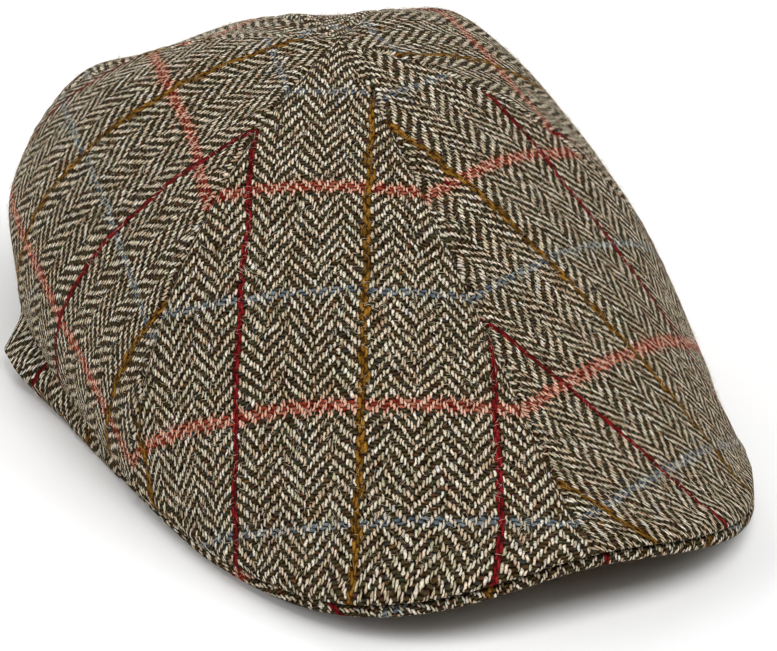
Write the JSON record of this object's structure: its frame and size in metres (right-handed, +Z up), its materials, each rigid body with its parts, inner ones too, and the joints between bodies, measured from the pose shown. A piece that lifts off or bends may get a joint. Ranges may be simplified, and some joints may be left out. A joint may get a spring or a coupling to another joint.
{
  "type": "flat cap",
  "caption": "Six-panel duckbill flat cap in herringbone tweed with a sewn-down arched peak and a back band, resting on a table.",
  "frame": {"origin": "on the table, under the middle of the cap's bounding box", "axes": "+Z up; the peak faces -Y; the wearer's right is -X"},
  "size_m": [0.1928, 0.2793, 0.1125],
  "materials": {
    "crown_tweed": "herringbone wool tweed with a windowpane overcheck, matt and hairy",
    "peak_tweed": "herringbone wool tweed over a stiff board",
    "band_tweed": "herringbone wool tweed, cut across the cloth"
  },
  "bodies": {
    "root": {"panel_front_right": "crown_tweed", "panel_front_left": "crown_tweed", "panel_side_right": "crown_tweed", "panel_side_left": "crown_tweed", "panel_back_right": "crown_tweed", "panel_back_left": "crown_tweed", "peak": "peak_tweed", "back_band": "band_tweed"}
  },
  "joints": []
}
